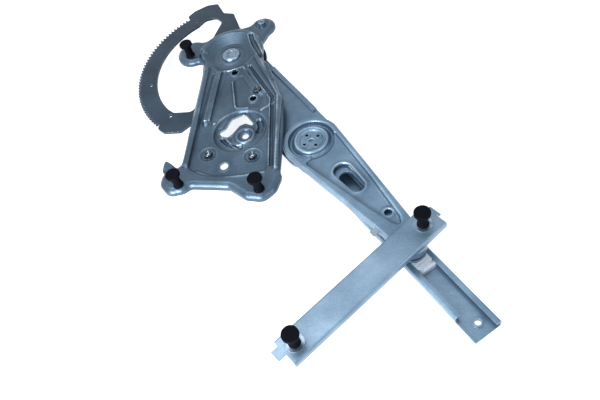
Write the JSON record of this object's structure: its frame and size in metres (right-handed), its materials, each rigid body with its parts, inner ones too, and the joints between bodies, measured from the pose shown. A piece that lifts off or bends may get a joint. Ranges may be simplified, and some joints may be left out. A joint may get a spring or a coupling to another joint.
{
  "type": "window regulator",
  "caption": "Cross-arm window regulator of a car door, folded: pressed base plate, toothed sector, arms, lift rail and guide rail on slide blocks.",
  "frame": {"origin": "axis of the motor's pinion bore, at the underside of the base plate's hub", "axes": "+Z towards the side of the locating pegs, +X along the base plate's two lower pegs, right-handed"},
  "size_m": [0.4788, 0.5207, 0.0607],
  "materials": {
    "zinc_steel_base": "bright zinc plate on pressed steel, satin",
    "zinc_steel_sector": "dull zinc plate on fine-blanked steel",
    "zinc_steel_arm": "bright zinc plate on pressed steel, satin",
    "zinc_steel_rail": "bright zinc plate on rolled steel, satin",
    "rivet_steel": "zinc plate, bright",
    "black_nylon": "moulded, satin",
    "natural_acetal": "moulded, satin"
  },
  "bodies": {
    "base": {"base_plate": "zinc_steel_base", "main_pivot_rivet": "rivet_steel", "main_pivot_bush": "rivet_steel", "main_pivot_washer": "rivet_steel", "base_pegs": "black_nylon", "motor_nuts": "rivet_steel", "ear_nut": "rivet_steel"},
    "main_arm_body": {"main_arm": "zinc_steel_arm", "sector_gear": "zinc_steel_sector", "sector_rivets": "rivet_steel", "front_lift_pin": "rivet_steel"},
    "cross_arm_body": {"guide_arm": "zinc_steel_arm", "arm_clip": "natural_acetal", "lift_arm": "zinc_steel_arm", "cross_bush": "rivet_steel", "cross_washer": "rivet_steel", "cross_rivets": "rivet_steel", "guide_pin": "rivet_steel", "rear_lift_pin": "rivet_steel"},
    "front_block_body": {"front_slide_block": "natural_acetal"},
    "rear_block_body": {"rear_slide_block": "natural_acetal"},
    "lift_rail_body": {"lift_rail": "zinc_steel_rail"},
    "guide_block_body": {"guide_slide_block": "natural_acetal"},
    "guide_rail_body": {"guide_rail": "zinc_steel_rail", "guide_collars": "rivet_steel", "guide_pegs": "black_nylon"}
  },
  "joints": [
    {"name": "main_arm_pivot", "type": "hinge", "parent": "base", "child": "main_arm_body", "pos_m": [-0.05432, 0.13377, -0.013], "axis": [0, 0, 1], "range_deg": [0, 150]},
    {"name": "cross_arm_pivot", "type": "hinge", "parent": "main_arm_body", "child": "cross_arm_body", "pos_m": [0.07862, 0.00083, -0.013], "axis": [0, 0, 1], "range_deg": [-80, 98]},
    {"name": "front_block_pivot", "type": "hinge", "parent": "main_arm_body", "child": "front_block_body", "pos_m": [0.20378, -0.12433, -0.026], "axis": [0, 0, 1], "range_deg": [-40, 49]},
    {"name": "rear_block_pivot", "type": "hinge", "parent": "cross_arm_body", "child": "rear_block_body", "pos_m": [-0.04654, 0.12599, -0.026], "axis": [0, 0, 1], "range_deg": [-49, 40]},
    {"name": "lift_rail_slide", "type": "slide", "parent": "front_block_body", "child": "lift_rail_body", "axis": [0.7071, -0.7071, 0], "range_m": [-0.05, 0.06]},
    {"name": "guide_block_pivot", "type": "hinge", "parent": "cross_arm_body", "child": "guide_block_body", "pos_m": [0.20378, -0.12433, 0], "axis": [0, 0, -1], "range_deg": [-220, 40]},
    {"name": "guide_rail_slide", "type": "slide", "parent": "guide_block_body", "child": "guide_rail_body", "axis": [0.6046, 0.7965, 0], "range_m": [-0.011, 0.135]}
  ],
  "couplings": [
    {"joint": "front_block_pivot", "follows": "cross_arm_pivot", "ratio": 0.5},
    {"joint": "rear_block_pivot", "follows": "cross_arm_pivot", "ratio": -0.5}
  ]
}
